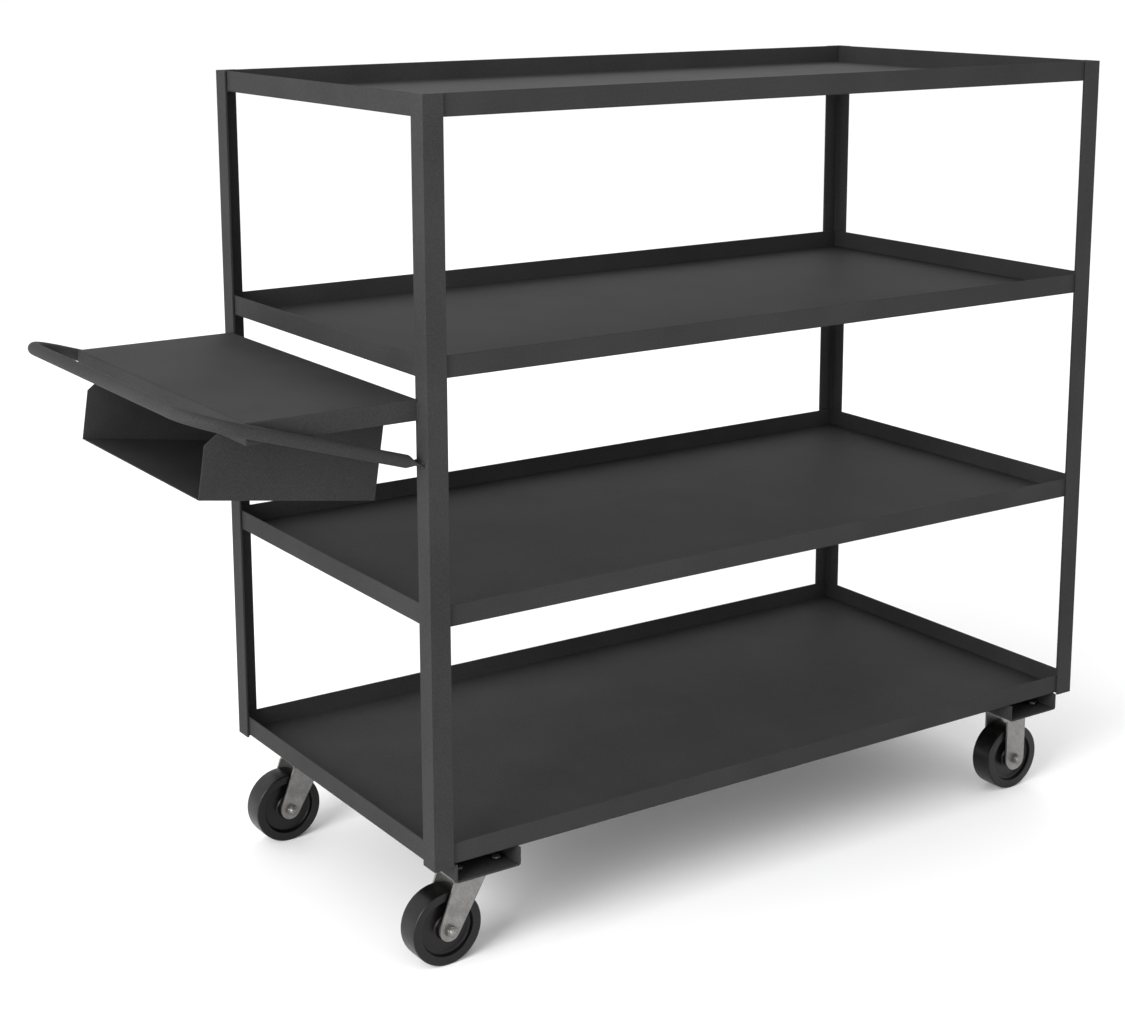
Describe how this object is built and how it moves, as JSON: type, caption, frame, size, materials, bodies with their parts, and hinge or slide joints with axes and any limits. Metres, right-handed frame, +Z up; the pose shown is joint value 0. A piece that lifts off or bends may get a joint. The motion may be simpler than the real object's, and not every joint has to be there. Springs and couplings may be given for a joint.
{
  "type": "rolling utility cart",
  "caption": "Tall steel stock cart: stacked lipped shelves in angle-iron posts, writing shelf with pocket, push handle, swivel and rigid casters.",
  "frame": {"origin": "on the floor under the centre of the overall box", "axes": "+X away from the push handle, the direction of travel; +Y to the left; +Z up"},
  "size_m": [1.9417, 0.7684, 1.5102],
  "materials": {
    "paint": "dark grey powder coat, fine texture, semi-matt",
    "zinc": "zinc plated, satin",
    "phenolic": "moulded phenolic resin, satin",
    "steel": "bright turned steel"
  },
  "bodies": {
    "cart_frame": {"corner_post_rear_right": "paint", "corner_post_rear_left": "paint", "corner_post_front_right": "paint", "corner_post_front_left": "paint", "bottom_shelf_pan": "paint", "second_shelf_pan": "paint", "third_shelf_pan": "paint", "top_shelf_pan": "paint", "writing_shelf": "paint", "pocket_liner": "paint", "pocket_side_right": "paint", "pocket_side_left": "paint", "push_handle": "paint", "caster_channel_rear": "paint", "caster_channel_front": "paint", "swivel_plate_rear_right": "zinc", "kingpin_rear_right": "zinc", "mounting_bolt_rear_right_1": "zinc", "mounting_bolt_rear_right_2": "zinc", "mounting_bolt_rear_right_3": "zinc", "mounting_bolt_rear_right_4": "zinc", "swivel_plate_rear_left": "zinc", "kingpin_rear_left": "zinc", "mounting_bolt_rear_left_1": "zinc", "mounting_bolt_rear_left_2": "zinc", "mounting_bolt_rear_left_3": "zinc", "mounting_bolt_rear_left_4": "zinc", "rigid_plate_front_right": "zinc", "rigid_fork_front_right": "zinc", "spanner_bushing_front_right": "steel", "axle_bolt_front_right": "zinc", "axle_nut_front_right": "zinc", "mounting_bolt_front_right_1": "zinc", "mounting_bolt_front_right_2": "zinc", "mounting_bolt_front_right_3": "zinc", "mounting_bolt_front_right_4": "zinc", "rigid_plate_front_left": "zinc", "rigid_fork_front_left": "zinc", "spanner_bushing_front_left": "steel", "axle_bolt_front_left": "zinc", "axle_nut_front_left": "zinc", "mounting_bolt_front_left_1": "zinc", "mounting_bolt_front_left_2": "zinc", "mounting_bolt_front_left_3": "zinc", "mounting_bolt_front_left_4": "zinc"},
    "swivel_rear_right": {"swivel_fork_rear_right": "zinc", "ball_ring_rear_right": "steel", "spanner_bushing_rear_right": "steel", "axle_bolt_rear_right": "zinc", "axle_nut_rear_right": "zinc"},
    "wheel_rear_right": {"wheel_rear_right": "phenolic"},
    "swivel_rear_left": {"swivel_fork_rear_left": "zinc", "ball_ring_rear_left": "steel", "spanner_bushing_rear_left": "steel", "axle_bolt_rear_left": "zinc", "axle_nut_rear_left": "zinc"},
    "wheel_rear_left": {"wheel_rear_left": "phenolic"},
    "wheel_front_right": {"wheel_front_right": "phenolic"},
    "wheel_front_left": {"wheel_front_left": "phenolic"}
  },
  "joints": [
    {"name": "swivel_turn_rear_right", "type": "hinge", "parent": "cart_frame", "child": "swivel_rear_right", "pos_m": [-0.4527, -0.3072, 0.15], "axis": [0, 0, 1], "continuous": true},
    {"name": "wheel_spin_rear_right", "type": "hinge", "parent": "swivel_rear_right", "child": "wheel_rear_right", "pos_m": [-0.5047, -0.3072, 0.0682], "axis": [0, 1, 0], "continuous": true},
    {"name": "swivel_turn_rear_left", "type": "hinge", "parent": "cart_frame", "child": "swivel_rear_left", "pos_m": [-0.4527, 0.3072, 0.15], "axis": [0, 0, 1], "continuous": true},
    {"name": "wheel_spin_rear_left", "type": "hinge", "parent": "swivel_rear_left", "child": "wheel_rear_left", "pos_m": [-0.5047, 0.3072, 0.0682], "axis": [0, 1, 0], "continuous": true},
    {"name": "wheel_spin_front_right", "type": "hinge", "parent": "cart_frame", "child": "wheel_front_right", "pos_m": [0.8637, -0.3072, 0.0682], "axis": [0, 1, 0], "continuous": true},
    {"name": "wheel_spin_front_left", "type": "hinge", "parent": "cart_frame", "child": "wheel_front_left", "pos_m": [0.8637, 0.3072, 0.0682], "axis": [0, 1, 0], "continuous": true}
  ]
}
